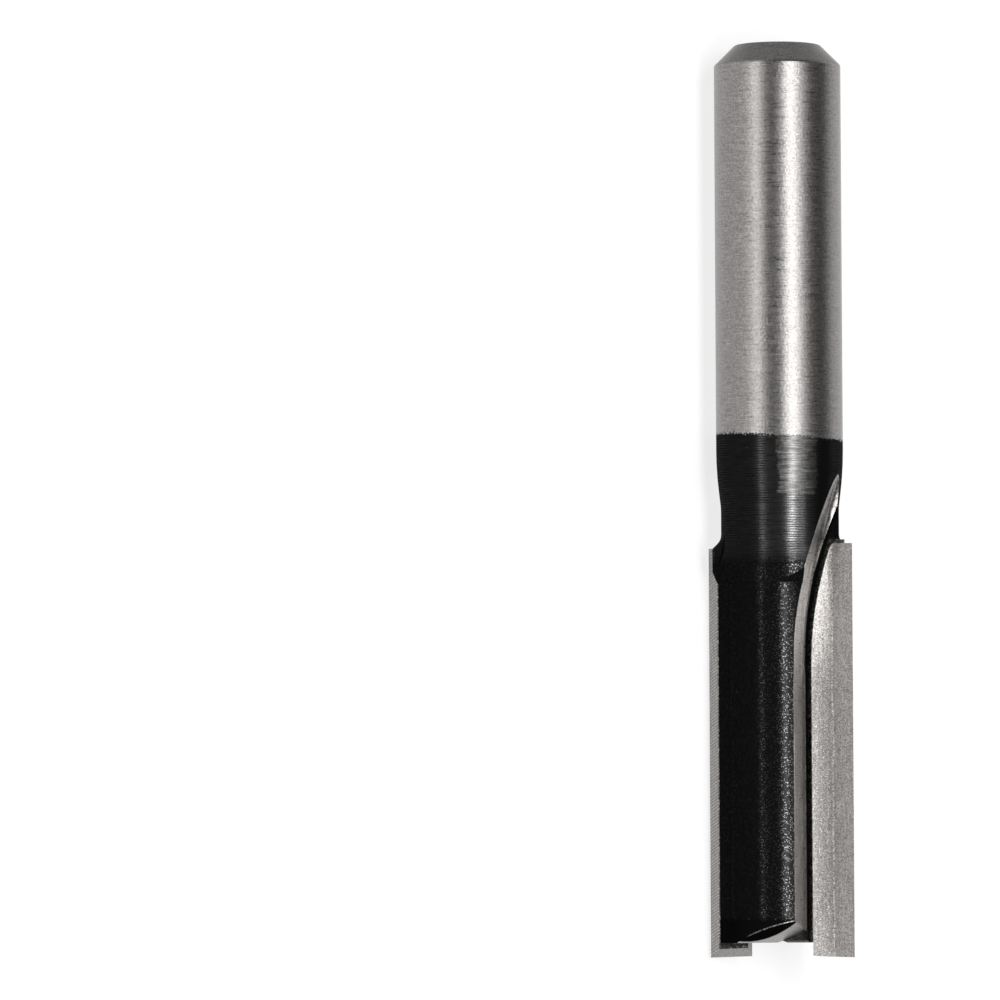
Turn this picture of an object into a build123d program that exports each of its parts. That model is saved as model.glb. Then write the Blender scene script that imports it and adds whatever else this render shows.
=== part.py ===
"""Straight router bit with two brazed carbide tips, lying on its side as it comes to rest.

Row frame in millimetres. Y runs along the bit's axis with the shank towards +Y, and Y = 0 is where the
shank's cylindrical wall ends. Z is up. The bit cuts clockwise, seen from the shank end.

The functions draw in the section of the cutting part: X runs outwards along the rake face of tip a, Z is
square to that face, and tip b is tip a turned by half a turn. The last step rolls everything to its rest.
"""
import os
from math import cos, radians, sin, sqrt, tan

from build123d import *

# Shank and neck
SHANK_D = 12.0  # collet size
SHANK_WALL = 36.5  # length of the cylindrical wall
END_CHAMFER = 1.95  # 45 degree chamfer at the shank end
END_ROUND = 0.35  # both edges of that chamfer
NECK_DROP = 0.42  # neck's wall inside the shank's wall
TAPER_ANGLE = 6.5  # from the shank down to the neck
TAPER_CROWN_R = 32.0  # rounding from the shank into the taper
TAPER_COVE_R = 7.0  # rounding from the taper into the neck
SHOULDER_ANGLE = 45.0
SHOULDER_COVE = 1.4286  # rounding from the neck into the shoulder, for each millimetre of its height

# Cutting part, from the shank's wall down
CUT_D = 14.0  # cutting diameter
TIP_START = 8.9  # upper end of tip a
TIP_LENGTH = 39.05  # tip a
TIP_B_SETBACK = 0.35  # tip b was brazed in lower by this much
SHOULDER_SETBACK = 0.43  # blank's full diameter starts this far below tip a's upper end
BODY_SHORT = 1.4  # tips reach past the end of the body
BODY_INSET = 0.58  # back of the body inside the cutting circle
ROLL = 49.5  # turn about the axis to where the bit comes to rest

# Milled back of each half of the body
BACK_CREST_SHARE = 0.619  # how much of the step from neck to blank the rounded back's crest rises
BACK_R_INSET = 2.6  # rounded back's radius is this much less than the cutting circle's
BACK_SHIFT = 0.13  # centre of the rounded back, away from tip a
BACK_FLAT_ANGLE = 47.5  # slope of the flat between the rounded back and the other tip
BACK_RISE_START = 8.5  # the neck begins to widen towards the back's crest
BACK_RISE_ANGLE = 12.0
BACK_RISE_COVE = 5.77  # rounding at its foot, for each millimetre of its height
BACK_START = 9.7  # the turned surface ends and the milled back begins
BACK_RUN_OUT = 3.0  # length over which the milled back runs out
BACK_RUN_OUT_ANGLE = 20.0
HORN_Z = 3.0  # only this far from the axis plane does the blank keep its full diameter behind the tips

# Carbide tips
RAKE_AHEAD = 0.17  # rake face ahead of the axis
TIP_W = 4.0
TIP_T = 1.7
TIP_CLEARANCE = 35.9  # of the ground land behind the cutting edge
END_RELIEF = 25.0
END_DISH = 1.8  # the end edge falls towards its corner
TIP_CORNER_R = 0.6
SEAT_BEND = 11.6  # length over which tip and seat bend outwards
SEAT_BEND_R = 35.0

# Braze
BRAZE = 0.12
BEAD_W = 0.25
BEAD_DROP = 0.08  # bead's crest below the rake face
BEAD_REACH = 1.2  # how far the bead runs along the tip's upper end

# Milled gullet in front of each tip
GULLET_LEDGE = 0.38  # ledge beside the seat
GULLET_DROP = 0.47  # ledge below the rake face
GULLET_BEND = 10.9  # its wall bends outwards from this far below tip a's upper end
GULLET_BEND_R = 35.0

# Ground flute in front of each tip
GRIND = 0.05  # taken off the gullet's wall
WHEEL_CORNER_R = 0.8
FLUTE_BEND = 13.9
FLUTE_BEND_R = 62.5

# Ground bevel on the end of each half of the body
BEVEL_LOSS = 2.05  # height lost at the flute's edge
BEVEL_SLOPE_X = 0.34
BEVEL_SLOPE_Z = 0.2

# Worked out
SHANK_R = SHANK_D / 2
NECK_R = SHANK_R - NECK_DROP
BLANK_R = CUT_D / 2 - BODY_INSET
TIP_END = TIP_START + TIP_LENGTH
TIP_TOP = {"a": TIP_START, "b": TIP_START + TIP_B_SETBACK}
BODY_END = TIP_END - BODY_SHORT
SHOULDER = TIP_START + SHOULDER_SETBACK
FAR = 2 * CUT_D  # tools reach this far out

EDGE_X = sqrt((CUT_D / 2) ** 2 - RAKE_AHEAD**2)  # cutting edge
TIP_X = EDGE_X - TIP_W  # tip's inner side
HEEL_X = EDGE_X - TIP_T * tan(radians(TIP_CLEARANCE))  # outer corner of the tip's back
HEEL_Z = TIP_T - RAKE_AHEAD  # tip's back from the axis plane
LEDGE_Z = RAKE_AHEAD - GULLET_DROP
GULLET_X = TIP_X - BRAZE - GULLET_LEDGE
WALL_X = GULLET_X - GRIND
BACK_CREST = NECK_R + BACK_CREST_SHARE * (BLANK_R - NECK_R)  # above the axis
BACK_RISE_COVE_R = BACK_RISE_COVE * (BACK_CREST - NECK_R)
SHOULDER_COVE_R = SHOULDER_COVE * (BLANK_R - NECK_R)
BACK_R = CUT_D / 2 - BACK_R_INSET
BACK_Z = sqrt((BACK_CREST - BACK_R) ** 2 - BACK_SHIFT**2)  # centre of the rounded back
EDGE_Z = BACK_Z + sqrt(BACK_R**2 - (WALL_X + BACK_SHIFT) ** 2)  # flute's outer edge


def half_turn(shape):
    return Rotation(0, 180, 0) * shape


def half_space(origin, normal):
    """Everything near the bit on the side of a plane that the normal points to."""
    return extrude(Plane(origin=origin, z_dir=normal) * Rectangle(8 * FAR, 8 * FAR), 4 * FAR)


def turned_blank(radius, shoulder_start, shoulder_angle, cove_r):
    """Shank, taper, neck and a shoulder up to a blank of this radius, as one turned piece."""
    top = SHANK_WALL + END_CHAMFER
    angle = radians(TAPER_ANGLE)
    taper_y = -TAPER_CROWN_R * tan(angle / 2)
    neck_y = taper_y - NECK_DROP / tan(angle)
    shoulder_end = shoulder_start + (radius - NECK_R) / tan(radians(shoulder_angle))
    outline = [
        (SHANK_R - END_CHAMFER, top),
        (SHANK_R, SHANK_WALL),
        (SHANK_R, taper_y),
        (NECK_R, neck_y),
        (NECK_R, -shoulder_start),
        (radius, -shoulder_end),
        (radius, -BODY_END),
    ]
    face = make_face(Polyline((0, top), *outline, (0, -BODY_END), (0, top)))
    for place, fillet_r in zip(outline, (END_ROUND, END_ROUND, TAPER_CROWN_R, TAPER_COVE_R, cove_r)):
        corner = face.vertices().sort_by_distance((*place, 0))[0]
        face = fillet(corner, fillet_r)
    return revolve(face, Axis.Y)


def blank_with_horns():
    """The neck widens gently under the backs, and with a steep shoulder only behind the tips."""
    gentle = turned_blank(BACK_CREST, BACK_RISE_START, BACK_RISE_ANGLE, BACK_RISE_COVE_R)
    rise = (BLANK_R - NECK_R) / tan(radians(SHOULDER_ANGLE))
    steep = turned_blank(BLANK_R, SHOULDER - rise, SHOULDER_ANGLE, SHOULDER_COVE_R)
    top = -SHOULDER + rise + SHOULDER_COVE_R * tan(radians(SHOULDER_ANGLE / 2))
    length = BODY_END + top
    horns = Pos(0, top - length / 2, 0) * Box(2 * FAR, length, 2 * HORN_Z)
    return gentle + (steep & horns)


def back_section(grow):
    """Section with a rounded back and a flat on each half, made larger all round by `grow`."""
    rise = radians(BACK_FLAT_ANGLE)
    radius = BACK_R + grow
    corner_x = -HEEL_X - grow
    corner_z = HEEL_Z + grow * tan(radians(45) - rise / 2)
    drop = corner_z - corner_x * tan(rise) - BACK_Z
    a = 1 + tan(rise) ** 2
    b = 2 * (BACK_SHIFT + tan(rise) * drop)
    c = BACK_SHIFT**2 + drop**2 - radius**2
    join_x = (-b - sqrt(b * b - 4 * a * c)) / (2 * a)
    join = (join_x, corner_z + (join_x - corner_x) * tan(rise))
    crown = (-BACK_SHIFT, BACK_Z + radius)
    side = (radius * cos(radians(20)) - BACK_SHIFT, BACK_Z + radius * sin(radians(20)))
    half = [(corner_x, 0), (corner_x, corner_z), join, crown, side, (-corner_x, 0)]
    other = [(-x, -z) for x, z in half]
    edges = Curve()
    for start, corner, arc_start, arc_mid, arc_end, end in (half, other):
        edges += Polyline(start, corner, arc_start)
        edges += ThreePointArc(arc_start, arc_mid, arc_end)
        edges += Line(arc_end, end)
    return make_face(edges)


def milled_back():
    """Blank, milled to the back section below its turned end."""
    full_depth = BACK_START + BACK_RUN_OUT
    grow = BACK_RUN_OUT * tan(radians(BACK_RUN_OUT_ANGLE))
    upper = Plane.XZ.offset(BACK_START) * back_section(grow)
    lower = Plane.XZ.offset(full_depth) * back_section(0)
    run_out = loft([upper, lower], ruled=True)
    straight = extrude(lower, BODY_END - full_depth)
    untouched = half_space((0, -BACK_START, 0), (0, 1, 0))
    blank = blank_with_horns()
    return (blank & untouched) + (blank & (run_out + straight))


def disc_cut_plan(x, bend_r, bend_y, out_x, end_y):
    """Plan of a disc cutter's cut: straight up from end_y, then an arc that leaves at out_x."""
    centre_x = x + bend_r
    exit_y = bend_y + sqrt(bend_r**2 - (centre_x - out_x) ** 2)
    mid_y = (bend_y + exit_y) / 2
    mid_x = centre_x - sqrt(bend_r**2 - (mid_y - bend_y) ** 2)
    edges = Line((x, end_y), (x, bend_y)) + ThreePointArc((x, bend_y), (mid_x, mid_y), (out_x, exit_y))
    edges += Polyline((out_x, exit_y), (out_x, end_y), (x, end_y))
    return make_face(edges)


def gullet():
    plan = disc_cut_plan(GULLET_X, GULLET_BEND_R, -TIP_START - GULLET_BEND, BLANK_R + 2, -TIP_END)
    return extrude(Plane.XY.offset(LEDGE_Z) * plan, FAR)


def flute():
    """What the grinding wheel takes: its side runs level with the rake face, its rim makes the wall."""
    plan = disc_cut_plan(WALL_X, FLUTE_BEND_R, -TIP_START - FLUTE_BEND, BLANK_R + 2, -TIP_END)
    tool = extrude(Plane.XY.offset(RAKE_AHEAD) * plan, FAR)
    rim = tool.edges().group_by(Axis.Z)[0].sort_by(Axis.X)
    return fillet(rim[:2], WHEEL_CORNER_R)


def end_bevel():
    """Everything under the sloping bevel, on the half of the body behind tip b."""
    corner = (WALL_X, -BODY_END + BEVEL_LOSS, EDGE_Z)
    below = half_space(corner, (BEVEL_SLOPE_X, -1, BEVEL_SLOPE_Z))
    return below & half_space((0, 0, 0), (0, 0, 1))


def tip_plan(top, grow=0.0):
    """Plan of a tip, or of its seat when grown: bent inner side and a rounded upper corner."""
    x = TIP_X - grow
    bend_r = SEAT_BEND_R + grow
    bend_y = -TIP_START - SEAT_BEND
    top_y = -top + grow
    top_x = x + bend_r - sqrt(bend_r**2 - (top_y - bend_y) ** 2)
    mid_y = (top_y + bend_y) / 2
    mid_x = x + bend_r - sqrt(bend_r**2 - (mid_y - bend_y) ** 2)
    out_x = EDGE_X + 2 * grow
    edges = Line((x, -TIP_END), (x, bend_y)) + ThreePointArc((x, bend_y), (mid_x, mid_y), (top_x, top_y))
    edges += Polyline((top_x, top_y), (out_x, top_y), (out_x, -TIP_END), (x, -TIP_END))
    plan = make_face(edges)
    corner = plan.vertices().sort_by_distance((top_x, top_y, 0))[0]
    return fillet(corner, TIP_CORNER_R + grow)


def carbide_tip(top):
    """Tip a: flat rake face, ground land on the outside and a relieved end."""
    blank = extrude(Plane.XY.offset(RAKE_AHEAD) * tip_plan(top), -TIP_T)
    clear = radians(TIP_CLEARANCE)
    land = half_space((EDGE_X, 0, RAKE_AHEAD), (cos(clear), 0, -sin(clear)))
    end_normal = (-tan(radians(END_DISH)), -1, -tan(radians(END_RELIEF)))
    return blank - land - half_space((EDGE_X, -TIP_END, RAKE_AHEAD), end_normal)


def seat_pocket(top):
    """Seat of tip a: one braze gap larger than the tip, and open outwards."""
    depth = TIP_T + BRAZE
    plan = tip_plan(top, BRAZE)
    out_x = EDGE_X + BRAZE
    length = TIP_END - top + BRAZE
    overrun = Pos(out_x + FAR / 2, BRAZE - top - length / 2) * Rectangle(FAR, length)
    return extrude(Plane.XY.offset(RAKE_AHEAD) * (plan + overrun), -depth)


def braze_bead(top):
    """Bead on the gullet's ledge, along the tip's inner side and round its upper corner."""
    height = GULLET_DROP - BEAD_DROP
    width = BRAZE + BEAD_W
    strip = extrude(Plane.XY.offset(LEDGE_Z) * tip_plan(top, width), height)
    crest = strip.faces().sort_by(Axis.Z)[-1]
    inner_side = crest.edges().sort_by(Axis.Y)[1:].sort_by(Axis.X)[:4]
    strip = chamfer(inner_side, 0.8 * min(height, width))
    top_x = TIP_X + SEAT_BEND_R - sqrt(SEAT_BEND_R**2 - (TIP_START + SEAT_BEND - top) ** 2)
    reach = half_space((top_x + BEAD_REACH, 0, 0), (-1, 0, 0))
    on_body = half_space((0, -BODY_END, 0), (0, 1, 0))
    return strip & reach & on_body


def same(shape):
    return shape


body = milled_back()
for turn in (same, half_turn):
    body -= turn(gullet())
    body -= turn(flute())
    body -= turn(end_bevel())

parts = {}
for name, turn in (("a", same), ("b", half_turn)):
    tip = turn(carbide_tip(TIP_TOP[name]))
    pocket = turn(seat_pocket(TIP_TOP[name]))
    layer = body & pocket
    body -= pocket
    bead = turn(braze_bead(TIP_TOP[name])) - body
    parts[f"carbide_tip_{name}"] = tip
    parts[f"braze_seam_{name}"] = layer + bead - tip
parts["body"] = body

os.makedirs("parts", exist_ok=True)
for node, shape in parts.items():
    shape = Rotation(0, -ROLL, 0) * shape
    export_step(shape, f"parts/{node}.step")
    box = shape.bounding_box()
    print(node, "solids", len(shape.solids()), "valid", shape.is_valid, "volume", round(shape.volume, 2), box.size)
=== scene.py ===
"""Looks of a straight router bit: ground shank, black coated neck and backs, brazed carbide tips.

The shader groups and the constants of the bit's shape are in millimetres. Along runs up the bit's axis from
the end of the shank's wall, Across lies in the plane of the rake faces, and Ahead is square to that plane.
"""

import math

import bpy
from bpy.props import FloatProperty, FloatVectorProperty, PointerProperty
from mathutils import Matrix, Vector

bl_info = {
    "name": "Router Bit",
    "version": (1, 0, 0),
    "blender": (4, 5, 0),
    "location": "View3D > Sidebar > Router Bit",
    "description": "Dresses the steel body, carbide tips and braze of a router bit and sets its stage",
    "category": "Object",
}

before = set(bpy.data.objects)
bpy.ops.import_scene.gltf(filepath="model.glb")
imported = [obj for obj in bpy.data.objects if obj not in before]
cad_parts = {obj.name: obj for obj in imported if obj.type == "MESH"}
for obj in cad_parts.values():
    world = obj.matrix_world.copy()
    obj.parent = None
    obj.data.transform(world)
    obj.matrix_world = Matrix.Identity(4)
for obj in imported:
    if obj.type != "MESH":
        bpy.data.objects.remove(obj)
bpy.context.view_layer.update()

MM = 0.001

# Shape of the bit, as its solids have it
ROLL = math.radians(49.5)  # turn of the cutting part at rest
SHANK_R = 6.0
SHANK_END = 36.5  # upper end of the shank's wall
TURNED_END = -10.0  # the turned marks stop here and the milled back begins
BACK_ARC = (-0.13, 1.695, 4.4)  # centre and radius of the rounded back
RAKE_AHEAD = 0.17
CUTTING_EDGE = 6.998
TIP_CLEARANCE = math.radians(35.9)
TIP_BACK = -1.53  # a tip's brazed face, measured like the rake face
TIP_SIDE = (2.998, -20.5, 35.0)  # its place across, where it begins to bend, and the bend's radius
FLUTE_SIDE = (2.449, -22.8, 62.5)
WHEEL_CORNER_R = 0.8
SHARED_WALL = (-16.0, 0.125, 0.0072)  # where the gullet is deeper than the flute: middle, most, falling off
BEVEL_EDGE = (2.449, -44.5, 5.261)  # the bevel's upper corner
BEVEL_SLOPE = (0.34, 0.2)
BEVEL_ARC = (1.05, -44.85, 0.7347, 0.0835)  # its reground part: a point on the edge, slope and bend

# Areas of the finishes
SOLDER_INWARDS = (-0.5, -0.35)  # flux and solder beside a tip's inner side
SOLDER_AHEAD = (0.4, 0.5)
SOLDER_TOP = (-9.0, -8.4)
STAIN_BOTTOM = (-47.75, -47.6)  # the brazed face's lower end
VIEW_TURN = math.radians(13.0)  # from the rake faces' plane to the front view's
COAT_SLANT = 0.057
COAT_RAGGED = 0.22
PAINTED_SHEEN = ((0.7, 1.0), (1.32, 1.38))  # painted highlight: angles round the bit where the patch of steel showing through the coating fades in and out
PAINTED_SHEEN_END = -4.4  # its lower end
RUBBED_FACE = math.radians(67.0)  # angle round the bit of the rubbed sides
SCRATCH_PLACE = 4.75
SCRATCH_DRIFT = 0.55

# How the noises spread
SPREAD = (0.3, 0.7)
CONTRAST = (0.35, 0.65)
SPOTS = (0.44, 0.54)
RARE_SPOTS = (0.54, 0.64)
ON_FACE = (0.02, 0.04)  # a point this near to a face is on it

# Stage
FACING = 90.0 + math.degrees(ROLL - VIEW_TURN)  # the camera's angle round the axis, from +X
CAMERA_TILT = math.radians(2.76)
CAMERA_LEAN = math.radians(0.27)
AIM_ALONG = -4.55 * MM
AIM_ASIDE = 26.5 * MM
LENS = 292.7
FLOOR_HALF = 3.0
FLOOR_GLOW = 0.75  # of white, for the camera and in reflections
LAMP_LEAN = math.radians(2.0)
LAMPS = {  # angle from the camera, distance, width, length, radiance
    "main_box": (-23.0, 0.6, 0.12, 0.5, 10.5),
    "wide_box": (-35.0, 0.62, 0.3, 0.6, 1.7),
    "left_box": (39.0, 0.6, 0.1, 0.5, 5.0),
}

BLACK = (0.0, 0.0, 0.0, 1.0)
FLUX = (0.02, 0.02, 0.02, 1.0)


def length_prop(name, description, default):
    return FloatProperty(name=name, description=description, default=default, unit="LENGTH", precision=5)


def colour_prop(name, description, default):
    return FloatVectorProperty(
        name=name, description=description, default=default, subtype="COLOR", size=3, min=0.0, max=1.0
    )


class SteelSettings(bpy.types.PropertyGroup):
    steel: colour_prop("Bare steel", "Colour of the ground steel", (0.275, 0.263, 0.256))
    coating: colour_prop("Coating", "Colour of the black coating", (0.004, 0.004, 0.0042))
    coat_edge: length_prop("Coating's upper edge", "Where the coating ends on the shank", 1.17 * MM)
    ridge_pitch: length_prop("Turning marks", "Distance between the turned ridges", 0.23 * MM)


class CarbideSettings(bpy.types.PropertyGroup):
    carbide: colour_prop("Carbide", "Colour of the ground carbide", (0.305, 0.292, 0.283))
    hatch_pitch: length_prop("Grinding marks", "Distance between grinding marks on the land", 0.3 * MM)


class BrazeSettings(bpy.types.PropertyGroup):
    braze: colour_prop("Braze", "Colour of clean braze", (0.62, 0.57, 0.45))


class StageSettings(bpy.types.PropertyGroup):
    floor: colour_prop("Floor", "Colour of the floor", (0.32, 0.32, 0.32))
    camera_distance: length_prop("Camera distance", "From the bit to the camera", 770 * MM)


class Graph:
    """Short calls that add nodes to one tree. A value is a number or another node's output."""

    def __init__(self, tree):
        self.tree = tree

    def node(self, kind, inputs=(), **settings):
        made = self.tree.nodes.new(kind)
        for name, value in settings.items():
            setattr(made, name, value)
        for key, value in dict(inputs).items():
            self.put(made.inputs[key], value)
        return made

    def put(self, socket, value):
        if isinstance(value, bpy.types.NodeSocket):
            self.tree.links.new(value, socket)
        else:
            socket.default_value = value

    def math(self, operation, *values):
        return self.node("ShaderNodeMath", enumerate(values), operation=operation).outputs[0]

    def chain(self, operation, first, *others):
        result = first
        for value in others:
            result = self.math(operation, result, value)
        return result

    def plus(self, *values):
        return self.chain("ADD", *values)

    def minus(self, a, b):
        return self.math("SUBTRACT", a, b)

    def times(self, *values):
        return self.chain("MULTIPLY", *values)

    def largest(self, *values):
        return self.chain("MAXIMUM", *values)

    def size(self, value):
        return self.math("ABSOLUTE", value)

    def apart(self, a, b):
        return self.size(self.minus(a, b))

    def square(self, value):
        return self.math("POWER", value, 2.0)

    def distance(self, x, y):
        """Length of the vector with these two sides."""
        return self.math("SQRT", self.plus(self.square(x), self.square(y)))

    def ramp(self, value, low, high, to_low=0.0, to_high=1.0, smooth=False):
        """Maps low..high to to_low..to_high, clamped."""
        made = self.node(
            "ShaderNodeMapRange",
            {"Value": value, "From Min": low, "From Max": high, "To Min": to_low, "To Max": to_high},
            interpolation_type="SMOOTHSTEP" if smooth else "LINEAR",
        )
        return made.outputs["Result"]

    def fall(self, value, low, high):
        """1 below low, 0 above high."""
        return self.ramp(value, low, high, 1.0, 0.0)

    def vector(self, x, y, z):
        return self.node("ShaderNodeCombineXYZ", {"X": x, "Y": y, "Z": z}).outputs[0]

    def noise(self, vector, scale=1.0, detail=2.0, roughness=0.5):
        made = self.node(
            "ShaderNodeTexNoise",
            {"Vector": vector, "Scale": scale, "Detail": detail, "Roughness": roughness},
        )
        return made.outputs["Fac"]

    def mix_value(self, factor, a, b):
        return self.node("ShaderNodeMix", {0: factor, 2: a, 3: b}).outputs[0]

    def mix_colour(self, factor, a, b):
        """Goes from a to b, and past b where the factor is above 1."""
        made = self.node("ShaderNodeMix", {0: factor, 6: a, 7: b}, data_type="RGBA", clamp_factor=False)
        return made.outputs[2]

    def bump(self, height):
        """Normal of a surface with this height in metres."""
        return self.node("ShaderNodeBump", {"Height": height, "Distance": 1.0, "Strength": 1.0}).outputs[0]

    def group(self, name, inputs=()):
        made = self.node("ShaderNodeGroup")
        made.node_tree = bpy.data.node_groups[name]
        for key, value in dict(inputs).items():
            self.put(made.inputs[key], value)
        return made.outputs


def rgba(colour):
    return (*colour, 1.0)


def new_group(name, inputs, outputs):
    """Empty shader group with float inputs {name: default} and float outputs."""
    tree = bpy.data.node_groups.new(name, "ShaderNodeTree")
    for socket, default in inputs.items():
        made = tree.interface.new_socket(socket, in_out="INPUT", socket_type="NodeSocketFloat")
        made.default_value = default
    for socket in outputs:
        tree.interface.new_socket(socket, in_out="OUTPUT", socket_type="NodeSocketFloat")
    graph = Graph(tree)
    return graph, graph.node("NodeGroupInput").outputs, graph.node("NodeGroupOutput").inputs


def bit_coordinates():
    """Group for a point's place on the bit, its place from side to side in front, and its angle."""
    graph, _, out = new_group("Bit coordinates", {}, ("Along", "Across", "Ahead", "Sideways", "Round"))
    place = graph.node("ShaderNodeTexCoord").outputs["Object"]
    split = graph.node("ShaderNodeSeparateXYZ", {0: place}).outputs
    x, along, z = (graph.times(split[i], 1 / MM) for i in range(3))
    across = graph.plus(graph.times(x, math.cos(ROLL)), graph.times(z, math.sin(ROLL)))
    ahead = graph.minus(graph.times(z, math.cos(ROLL)), graph.times(x, math.sin(ROLL)))
    sideways = graph.minus(
        graph.times(across, math.cos(VIEW_TURN)),
        graph.times(ahead, math.sin(VIEW_TURN)),
    )
    graph.put(out["Along"], along)
    graph.put(out["Across"], across)
    graph.put(out["Ahead"], ahead)
    graph.put(out["Sideways"], sideways)
    graph.put(out["Round"], graph.math("ARCTAN2", ahead, across))


def outwards_of(graph, side, across, along):
    """How far a point lies outwards of a straight side that bends away along an arc."""
    place, bend_start, bend_r = side
    x = graph.minus(across, place + bend_r)
    y = graph.largest(graph.minus(along, bend_start), 0.0)
    return graph.minus(bend_r, graph.distance(x, y))


def ground_flute(graph, across, along, ahead):
    """Mask of the wall, the rounded corner and the floor that the grinding wheel leaves."""
    depth = outwards_of(graph, FLUTE_SIDE, across, along)
    past_wall = graph.largest(graph.minus(WHEEL_CORNER_R, depth), 0.0)
    past_floor = graph.largest(graph.minus(RAKE_AHEAD + WHEEL_CORNER_R, ahead), 0.0)
    corner = graph.distance(past_wall, past_floor)
    middle, most, falling_off = SHARED_WALL
    spare = graph.minus(most, graph.times(graph.square(graph.minus(along, middle)), falling_off))
    outside = graph.minus(graph.minus(corner, WHEEL_CORNER_R), graph.largest(spare, 0.0))
    return graph.fall(outside, 0.012, 0.03)


def end_bevel(graph, across, along, ahead, front):
    """Masks of the reground part of an end bevel and of the bevel's edge on the rounded back, where bare
    steel stands for wear and for a painted highlight of the rounded edge.
    """
    rise = graph.plus(
        graph.times(graph.minus(across, BEVEL_EDGE[0]), BEVEL_SLOPE[0]),
        graph.times(graph.minus(ahead, BEVEL_EDGE[2]), BEVEL_SLOPE[1]),
    )
    above = graph.minus(along, graph.plus(rise, BEVEL_EDGE[1]))
    start, height, slope, bend = BEVEL_ARC
    from_start = graph.minus(front, start)
    arc = graph.plus(graph.times(graph.square(from_start), bend), graph.times(from_start, slope), height)
    reground = graph.fall(graph.minus(along, arc), 0.0, 0.08)
    bevel = graph.times(graph.fall(above, 0.01, 0.03), reground)

    centre_x, centre_z, radius = BACK_ARC
    from_centre = graph.distance(graph.minus(across, centre_x), graph.minus(ahead, centre_z))
    off_back = graph.apart(radius, from_centre)
    # Bare steel along the bevel's upper edge: wear, and a painted highlight of the rounded edge
    at_edge = graph.fall(graph.largest(graph.size(above), off_back), 0.04, 0.12)
    return bevel, graph.times(at_edge, graph.ramp(front, -3.4, -2.6))


def ground_areas():
    """Group of masks: ground flutes and end bevels, the bevels' edges (worn bare, and a painted edge
    highlight), and the strip beside each tip.
    """
    graph, _, out = new_group("Ground areas", {}, ("Flute", "Bevel", "Bevel edge", "Beside tip"))
    at = graph.group("Bit coordinates")
    half = graph.math("SIGN", at["Ahead"])
    across = graph.times(at["Across"], half)
    ahead = graph.size(at["Ahead"])
    front = graph.times(at["Sideways"], half)
    graph.put(out["Flute"], ground_flute(graph, across, at["Along"], ahead))
    bevel, bevel_edge = end_bevel(graph, across, at["Along"], ahead, front)
    graph.put(out["Bevel"], bevel)
    graph.put(out["Bevel edge"], bevel_edge)

    upwards = graph.times(at["Ahead"], graph.math("SIGN", at["Across"]))
    inwards = outwards_of(graph, TIP_SIDE, graph.size(at["Across"]), at["Along"])
    strip = graph.times(
        graph.ramp(inwards, *SOLDER_INWARDS),
        graph.fall(graph.size(upwards), *SOLDER_AHEAD),
        graph.fall(at["Along"], *SOLDER_TOP),
    )
    graph.put(out["Beside tip"], strip)


def turning_lines():
    """Group for fine lines that run round the bit, wavering a little."""
    graph, given, out = new_group("Turning lines", {"Lines per mm": 9.0, "Waver": 0.6}, ("Height",))
    at = graph.group("Bit coordinates")
    turn = graph.times(graph.math("SINE", at["Round"]), SHANK_R)
    other = graph.times(graph.math("COSINE", at["Round"]), SHANK_R)
    place = graph.vector(
        graph.times(at["Along"], given["Lines per mm"]),
        graph.times(turn, given["Waver"]),
        graph.times(other, given["Waver"]),
    )
    graph.put(out["Height"], graph.noise(place, 1.0, 3.0, 0.7))


def speckle():
    """Group for the grain of a surface: soft grain, sharp grain, sparkling points, and rare small pits."""
    graph, given, out = new_group("Speckle", {"Grains per mm": 6.0}, ("Soft", "Sharp", "Sparkles", "Pits"))
    at = graph.group("Bit coordinates")
    fineness = given["Grains per mm"]
    place = graph.vector(at["Across"], at["Along"], at["Ahead"])
    graph.put(out["Soft"], graph.noise(place, graph.times(fineness, 0.3), 3.0, 0.6))
    graph.put(out["Sharp"], graph.noise(place, fineness, 2.0, 0.8))
    points = graph.node("ShaderNodeTexVoronoi", {"Vector": place, "Scale": fineness}).outputs
    chance = graph.node("ShaderNodeSeparateColor", {0: points["Color"]}).outputs[0]
    near = graph.fall(points["Distance"], 0.3, 0.55)
    graph.put(out["Sparkles"], graph.times(near, graph.ramp(chance, 0.5, 0.9)))
    cells = graph.node("ShaderNodeTexVoronoi", {"Vector": place, "Scale": 0.9, "Randomness": 1.0})
    graph.put(out["Pits"], graph.fall(cells.outputs["Distance"], 0.06, 0.1))


def rubbed_coat():
    """Group for the coating's shine: ridges that are rubbed bright on two sides, and glinting grain."""
    graph, given, out = new_group("Rubbed coat", {"Ridges per mm": 4.35}, ("Turned", "Shine"))
    at = graph.group("Bit coordinates")
    grain = graph.group("Speckle", {"Grains per mm": 8.0})
    lines = graph.group("Turning lines")["Height"]
    turned = graph.ramp(at["Along"], TURNED_END - 0.8, TURNED_END + 0.2)
    from_face = graph.minus(at["Round"], RUBBED_FACE)
    on_two_sides = graph.math("COSINE", graph.times(from_face, 2.0))
    rubbed = graph.ramp(on_two_sides, 0.45, 0.85, 0.08, 1.0, smooth=True)
    step = graph.plus(graph.times(at["Along"], given["Ridges per mm"]), graph.times(grain["Soft"], 0.8))
    crest = graph.math("SINE", graph.times(step, 2 * math.pi))
    crest = graph.plus(crest, graph.ramp(lines, *SPREAD, -1.2, 1.2))
    ridged = graph.times(
        graph.ramp(crest, -1.2, 0.9, 0.2, 1.0),
        graph.ramp(grain["Sharp"], *CONTRAST, 0.6, 1.2),
    )
    glints = graph.times(
        graph.ramp(grain["Sparkles"], 0.0, 1.0, 0.07, 1.0),
        graph.ramp(at["Along"], BEVEL_EDGE[1], BEVEL_EDGE[1] + 0.4),
    )
    graph.put(out["Turned"], turned)
    graph.put(out["Shine"], graph.times(rubbed, graph.mix_value(turned, glints, ridged)))


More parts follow.
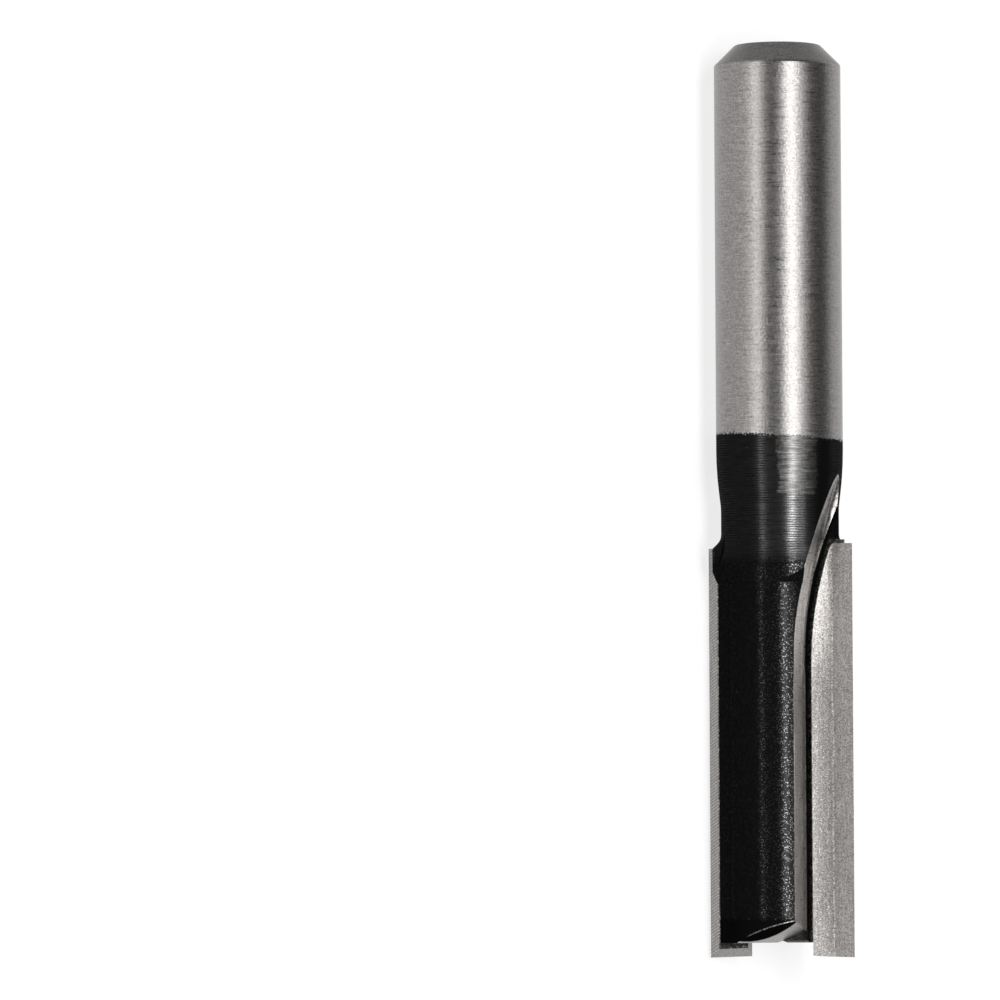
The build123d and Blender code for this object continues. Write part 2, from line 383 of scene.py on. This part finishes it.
def new_material(name):
    material = bpy.data.materials.new(name)
    material.use_nodes = True
    material.node_tree.nodes.clear()
    graph = Graph(material.node_tree)
    shader = graph.node("ShaderNodeBsdfPrincipled")
    output = graph.node("ShaderNodeOutputMaterial")
    graph.put(output.inputs["Surface"], shader.outputs[0])
    return material, graph, shader


def above_coating(graph, at, grain, coat_edge):
    """Mask of the shank above the coating's ragged edge."""
    slant = graph.times(at["Sideways"], COAT_SLANT)
    ragged = graph.ramp(grain["Sharp"], *SPREAD, -COAT_RAGGED, COAT_RAGGED)
    above = graph.minus(graph.plus(at["Along"], slant, ragged), coat_edge)
    return graph.ramp(above, -0.05, 0.05)


def painted_sheen(graph, at, grain, lines):
    """Painted highlight: how much steel shows through the coating in a patch on one side of the taper,
    widening the lamps' highlight there.
    """
    fade_in, fade_out = PAINTED_SHEEN
    wobble = graph.ramp(grain["Soft"], *SPREAD, -0.05, 0.05)
    turn = graph.plus(at["Round"], wobble)
    height = graph.plus(at["Along"], graph.times(wobble, 2.0))
    return graph.times(
        graph.ramp(turn, *fade_in),
        graph.fall(turn, *fade_out),
        graph.ramp(height, PAINTED_SHEEN_END - 0.05, PAINTED_SHEEN_END + 0.05),
        graph.ramp(lines, *CONTRAST, 0.12, 0.62),
    )


def steel_tone(graph, at, flute, grain, lines, scuff):
    """Brightness of the bare steel: marks, a darker end, scuffs, the flutes' drawn streaks, and painted light
    on the flutes' run-out and on the wall's lower part.
    """
    marks = graph.times(
        graph.ramp(lines, *SPREAD, 0.7, 1.15),
        graph.ramp(grain["Sharp"], *CONTRAST, 0.7, 1.2),
    )
    # Darker on the shank's end chamfer and end face
    darker_end = graph.ramp(at["Along"], SHANK_END - 0.1, SHANK_END + 0.1, 1.0, 0.42)
    scuffed = graph.ramp(scuff, 0.0, 1.0, 1.0, 0.45)
    # Painted light: the ground flute is brightened up its run-out, and darker again towards the run-out's
    # upper end
    run_out_painted_light = graph.times(flute, graph.ramp(at["Along"], -24.0, -14.0))
    run_out_painted_light = graph.ramp(run_out_painted_light, 0.0, 1.0, 1.0, 1.9)
    run_out_end = graph.mix_value(flute, 1.0, graph.ramp(at["Along"], -8.5, -6.0, 1.0, 0.72))

    place = graph.vector(at["Across"], graph.times(at["Along"], 0.12), at["Ahead"])
    drawn = graph.ramp(graph.noise(place, 4.0, 3.0, 0.7), *CONTRAST, 0.55, 1.35)
    # Painted light: the streaks are brightened on the wall's lower part near the wheel's corner, where it
    # lies in shade
    low_wall_painted_light = graph.ramp(at["Along"], -12.0, -8.0, 2.6, 1.0)
    drawn = graph.times(drawn, graph.ramp(graph.size(at["Ahead"]), 0.9, 2.6, low_wall_painted_light, 1.0))
    return graph.times(marks, darker_end, scuffed, run_out_painted_light, run_out_end, graph.mix_value(flute, 1.0, drawn))


def steel_material(settings):
    """Bare ground steel, with the black coating over the neck and the milled backs."""
    material, graph, shader = new_material("coated_steel")
    at = graph.group("Bit coordinates")
    ground = graph.group("Ground areas")
    grain = graph.group("Speckle", {"Grains per mm": 5.0})
    lines = graph.group("Turning lines")["Height"]
    coat = graph.group("Rubbed coat", {"Ridges per mm": MM / settings.ridge_pitch})
    solder = ground["Beside tip"]
    sharp = grain["Sharp"]

    shank = above_coating(graph, at, grain, settings.coat_edge / MM)
    bare = graph.largest(shank, ground["Flute"], ground["Bevel"])
    scuff = graph.times(grain["Pits"], graph.ramp(grain["Soft"], 0.55, 0.62))
    metal = graph.largest(
        bare,
        # Bare steel along the bevel's edge: wear, and a painted highlight of the rounded edge
        graph.times(ground["Bevel edge"], graph.ramp(sharp, 0.35, 0.5)),
        graph.times(scuff, 0.35),
        # Painted highlight: a patch of steel showing through the coating on one side of the taper
        painted_sheen(graph, at, grain, lines),
        graph.times(solder, graph.ramp(sharp, *SPOTS)),
    )
    tone = steel_tone(graph, at, ground["Flute"], grain, lines, scuff)
    steel = graph.mix_colour(tone, BLACK, rgba(settings.steel))
    graph.put(shader.inputs["Base Color"], graph.mix_colour(metal, rgba(settings.coating), steel))
    graph.put(shader.inputs["Metallic"], metal)
    shader.inputs["Specular IOR Level"].default_value = 0.0

    coated = graph.minus(1.0, metal)
    graph.put(shader.inputs["Coat Weight"], graph.times(coated, coat["Shine"]))
    shader.inputs["Coat IOR"].default_value = 2.0
    shader.inputs["Coat Roughness"].default_value = 0.23
    coat_roughness = graph.ramp(at["Along"], BEVEL_EDGE[1] - 0.6, BEVEL_EDGE[1], 0.75, 0.3)
    steel_roughness = graph.ramp(lines, *SPREAD, 0.25, 0.37)
    graph.put(shader.inputs["Roughness"], graph.mix_value(bare, coat_roughness, steel_roughness))

    milled = graph.times(sharp, 0.02 * MM)
    turned = graph.times(lines, 0.02 * MM)
    lumpy = graph.times(sharp, 0.2 * MM)
    ground_marks = graph.plus(graph.times(lines, 0.006 * MM), graph.times(sharp, 0.026 * MM))
    height = graph.mix_value(coat["Turned"], milled, turned)
    height = graph.mix_value(solder, height, lumpy)
    height = graph.mix_value(bare, height, ground_marks)
    graph.put(shader.inputs["Normal"], graph.bump(height))
    return material


def carbide_material(settings):
    """Satin ground carbide, bright towards the tip's inner side from a slight hollow and from a painted
    highlight, with slanting marks on the land.
    """
    material, graph, shader = new_material("ground_carbide")
    at = graph.group("Bit coordinates")
    grain = graph.group("Speckle", {"Grains per mm": 9.0})
    sharp = grain["Sharp"]
    across = graph.size(at["Across"])
    ahead = graph.times(at["Ahead"], graph.math("SIGN", at["Across"]))
    off_land = graph.plus(
        graph.times(graph.minus(across, CUTTING_EDGE), math.cos(TIP_CLEARANCE)),
        graph.times(graph.minus(ahead, RAKE_AHEAD), -math.sin(TIP_CLEARANCE)),
    )
    land = graph.fall(graph.size(off_land), *ON_FACE)
    rake = graph.fall(graph.apart(ahead, RAKE_AHEAD), *ON_FACE)
    brazed = graph.fall(graph.apart(ahead, TIP_BACK), *ON_FACE)
    brazed = graph.times(brazed, graph.ramp(at["Along"], *STAIN_BOTTOM))

    slant = graph.plus(at["Along"], graph.times(ahead, 0.34))
    hatch = graph.math("SINE", graph.times(slant, 2 * math.pi * MM / settings.hatch_pitch))
    hatch = graph.times(hatch, land, graph.ramp(grain["Soft"], 0.3, 0.5))
    streaks = graph.noise(graph.vector(graph.times(across, 5.0), graph.times(at["Along"], 0.4), 0.0))
    tone = graph.times(
        graph.ramp(sharp, 0.36, 0.64, 0.5, 1.5),
        graph.ramp(hatch, -1.0, 1.0, 0.55, 1.3),
        graph.ramp(streaks, *SPREAD, 0.85, 1.15),
        graph.ramp(land, 0.0, 1.0, 1.0, 0.95),
    )
    drift = graph.noise(graph.vector(0.0, graph.times(at["Along"], 0.12), 0.0))
    border = graph.plus(SCRATCH_PLACE, graph.times(drift, SCRATCH_DRIFT))
    scratch = graph.times(
        graph.fall(graph.apart(across, border), 0.03, 0.12),
        rake,
        graph.ramp(sharp, 0.45, 0.6),
    )
    tone = graph.plus(tone, graph.times(scratch, 1.3))

    # Painted highlight: the rake face's inner strip is brightened, with sparkling grain, more towards its top
    inwards = graph.largest(graph.minus(border, across), 0.0)
    painted_highlight_strip = graph.times(graph.ramp(inwards, 0.0, 0.5), rake)
    shine = graph.times(
        graph.ramp(grain["Sparkles"], 0.0, 1.0, 1.3, 2.8),
        graph.ramp(at["Along"], -22.0, -13.0, 1.0, 2.2),
    )
    stain = graph.ramp(grain["Soft"], 0.56, 0.66, 0.12, 1.0)
    tone = graph.times(tone, graph.mix_value(painted_highlight_strip, 1.0, shine), graph.mix_value(brazed, 1.0, stain))
    graph.put(shader.inputs["Base Color"], graph.mix_colour(tone, BLACK, rgba(settings.carbide)))
    shader.inputs["Metallic"].default_value = 1.0
    graph.put(shader.inputs["Roughness"], graph.ramp(sharp, *SPREAD, 0.36, 0.5))

    hollow = graph.times(graph.square(inwards), graph.times(rake, 0.08 * MM))
    height = graph.plus(hollow, graph.times(sharp, 0.05 * MM), graph.times(hatch, 0.006 * MM))
    graph.put(shader.inputs["Normal"], graph.bump(height))
    return material


def braze_material(settings):
    """Silver braze that shows in spots through dark flux."""
    material, graph, shader = new_material("silver_braze")
    sharp = graph.group("Speckle", {"Grains per mm": 4.0})["Sharp"]
    clean = graph.ramp(sharp, *RARE_SPOTS)
    graph.put(shader.inputs["Base Color"], graph.mix_colour(clean, FLUX, rgba(settings.braze)))
    graph.put(shader.inputs["Metallic"], clean)
    shader.inputs["Roughness"].default_value = 0.3
    graph.put(shader.inputs["Normal"], graph.bump(graph.times(sharp, 0.15 * MM)))
    return material


def dress(node, material):
    """Gives a node its material."""
    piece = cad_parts[node]
    piece.data.materials.clear()
    piece.data.materials.append(material)


class ROUTERBIT_OT_effects(bpy.types.Operator):
    """Make the shader groups that the finishes share"""

    bl_idname = "router_bit.effects"
    bl_label = "Shared effects"

    def execute(self, context):
        bit_coordinates()
        ground_areas()
        turning_lines()
        speckle()
        rubbed_coat()
        return {"FINISHED"}


class ROUTERBIT_OT_body(bpy.types.Operator):
    """Finish the steel body"""

    bl_idname = "router_bit.body"
    bl_label = "Steel body"

    def execute(self, context):
        dress("body", steel_material(context.scene.router_bit_steel))
        return {"FINISHED"}


class ROUTERBIT_OT_tips(bpy.types.Operator):
    """Finish both carbide tips"""

    bl_idname = "router_bit.tips"
    bl_label = "Carbide tips"

    def execute(self, context):
        material = carbide_material(context.scene.router_bit_carbide)
        for side in "ab":
            dress(f"carbide_tip_{side}", material)
        return {"FINISHED"}


class ROUTERBIT_OT_braze(bpy.types.Operator):
    """Finish both braze seams"""

    bl_idname = "router_bit.braze"
    bl_label = "Braze seams"

    def execute(self, context):
        material = braze_material(context.scene.router_bit_braze)
        for side in "ab":
            dress(f"braze_seam_{side}", material)
        return {"FINISHED"}


def make_floor(settings):
    """Pale floor under the shank. It shows white to the camera and in metal, and keeps the shadow."""
    half = FLOOR_HALF
    level = -SHANK_R * MM
    mesh = bpy.data.meshes.new("floor")
    corners = [(-half, -half, level), (half, -half, level), (half, half, level), (-half, half, level)]
    mesh.from_pydata(corners, [], [(0, 1, 2, 3)])
    floor = bpy.data.objects.new("floor", mesh)
    bpy.context.scene.collection.objects.link(floor)
    material, graph, shader = new_material("floor")
    shader.inputs["Base Color"].default_value = rgba(settings.floor)
    shader.inputs["Roughness"].default_value = 0.9
    shader.inputs["Specular IOR Level"].default_value = 0.0
    light = graph.node("ShaderNodeLightPath").outputs
    seen = graph.largest(light["Is Camera Ray"], light["Is Glossy Ray"], light["Is Transmission Ray"])
    shader.inputs["Emission Color"].default_value = (1.0, 1.0, 1.0, 1.0)
    graph.put(shader.inputs["Emission Strength"], graph.times(seen, FLOOR_GLOW))
    mesh.materials.append(material)


def make_world():
    """Dark studio overhead, pale towards the horizon."""
    world = bpy.data.worlds.new("studio")
    bpy.context.scene.world = world
    world.use_nodes = True
    graph = Graph(world.node_tree)
    world.node_tree.nodes.clear()
    direction = graph.node("ShaderNodeTexCoord").outputs["Generated"]
    up = graph.node("ShaderNodeSeparateXYZ", {0: direction}).outputs[2]
    tone = graph.ramp(up, 0.28, 0.46, 1.1, 0.1, smooth=True)
    colour = graph.node("ShaderNodeCombineColor", {0: tone, 1: tone, 2: tone}).outputs[0]
    background = graph.node("ShaderNodeBackground", {"Color": colour, "Strength": 1.0})
    output = graph.node("ShaderNodeOutputWorld")
    graph.put(output.inputs["Surface"], background.outputs[0])


def across_bit(polar):
    """Direction square to the bit's axis at an angle from +X, in degrees."""
    angle = math.radians(polar)
    return Vector((math.cos(angle), 0.0, math.sin(angle)))


def place_at(thing, place, side, upward, back):
    """Moves an object and turns its own X, Y and Z to side, upward and back."""
    turn = Matrix((side, upward, back)).transposed().to_4x4()
    thing.matrix_world = Matrix.Translation(place) @ turn


def softbox(name, polar, distance, width, length, radiance):
    """Area light aimed at the bit from an angle round its axis, leaning a little towards the shank."""
    direction = across_bit(polar) * math.cos(LAMP_LEAN) + Vector((0, 1, 0)) * math.sin(LAMP_LEAN)
    light = bpy.data.lights.new(name, "AREA")
    light.shape = "RECTANGLE"
    light.size = width
    light.size_y = length
    light.energy = radiance * math.pi * width * length
    lamp = bpy.data.objects.new(name, light)
    bpy.context.scene.collection.objects.link(lamp)
    back = direction.normalized()
    side = Vector((0, 1, 0)).cross(back).normalized()
    place_at(lamp, back * distance, side, back.cross(side), back)


def make_camera(settings):
    """Long lens a little below square to the bit, with the bit at the right of the picture."""
    sight = across_bit(FACING)
    right = across_bit(FACING - 90.0)
    axis = Vector((0, 1, 0))
    on_bit = axis * AIM_ALONG
    from_bit = sight * math.cos(CAMERA_TILT) - axis * math.sin(CAMERA_TILT)
    place = on_bit + from_bit * settings.camera_distance
    forward = (on_bit - right * AIM_ASIDE - place).normalized()
    upward = axis * math.cos(CAMERA_LEAN) + right * math.sin(CAMERA_LEAN)
    side = forward.cross(upward).normalized()
    lens = bpy.data.cameras.new("camera")
    lens.sensor_width = 36.0
    lens.lens = LENS
    lens.clip_start = 0.01
    lens.clip_end = 20.0
    camera = bpy.data.objects.new("camera", lens)
    bpy.context.scene.collection.objects.link(camera)
    place_at(camera, place, side, side.cross(forward), -forward)
    bpy.context.scene.camera = camera


class ROUTERBIT_OT_stage(bpy.types.Operator):
    """Make the floor, the studio light and the camera"""

    bl_idname = "router_bit.stage"
    bl_label = "Stage"

    def execute(self, context):
        settings = context.scene.router_bit_stage
        make_floor(settings)
        make_world()
        for name, (from_camera, *sizes) in LAMPS.items():
            softbox(name, FACING + from_camera, *sizes)
        make_camera(settings)
        context.scene.view_settings.view_transform = "Standard"
        return {"FINISHED"}


class ROUTERBIT_PT_panel(bpy.types.Panel):
    """The bit's sizes, colours and steps"""

    bl_idname = "ROUTERBIT_PT_panel"
    bl_label = "Router Bit"
    bl_space_type = "VIEW_3D"
    bl_region_type = "UI"
    bl_category = "Router Bit"

    def draw(self, context):
        for name, group in SETTINGS.items():
            settings = getattr(context.scene, name)
            for prop in group.__annotations__:
                self.layout.prop(settings, prop)
        for operator in OPERATORS:
            self.layout.operator(operator.bl_idname)


SETTINGS = {
    "router_bit_steel": SteelSettings,
    "router_bit_carbide": CarbideSettings,
    "router_bit_braze": BrazeSettings,
    "router_bit_stage": StageSettings,
}
OPERATORS = (
    ROUTERBIT_OT_effects,
    ROUTERBIT_OT_body,
    ROUTERBIT_OT_tips,
    ROUTERBIT_OT_braze,
    ROUTERBIT_OT_stage,
)
CLASSES = (*SETTINGS.values(), *OPERATORS, ROUTERBIT_PT_panel)


def register():
    for made in CLASSES:
        bpy.utils.register_class(made)
    for name, group in SETTINGS.items():
        setattr(bpy.types.Scene, name, PointerProperty(type=group))


def unregister():
    for name in SETTINGS:
        delattr(bpy.types.Scene, name)
    for made in reversed(CLASSES):
        bpy.utils.unregister_class(made)


def main():
    register()
    bpy.ops.router_bit.effects()
    bpy.ops.router_bit.body()
    bpy.ops.router_bit.tips()
    bpy.ops.router_bit.braze()
    bpy.ops.router_bit.stage()


if __name__ == "__main__":
    main()
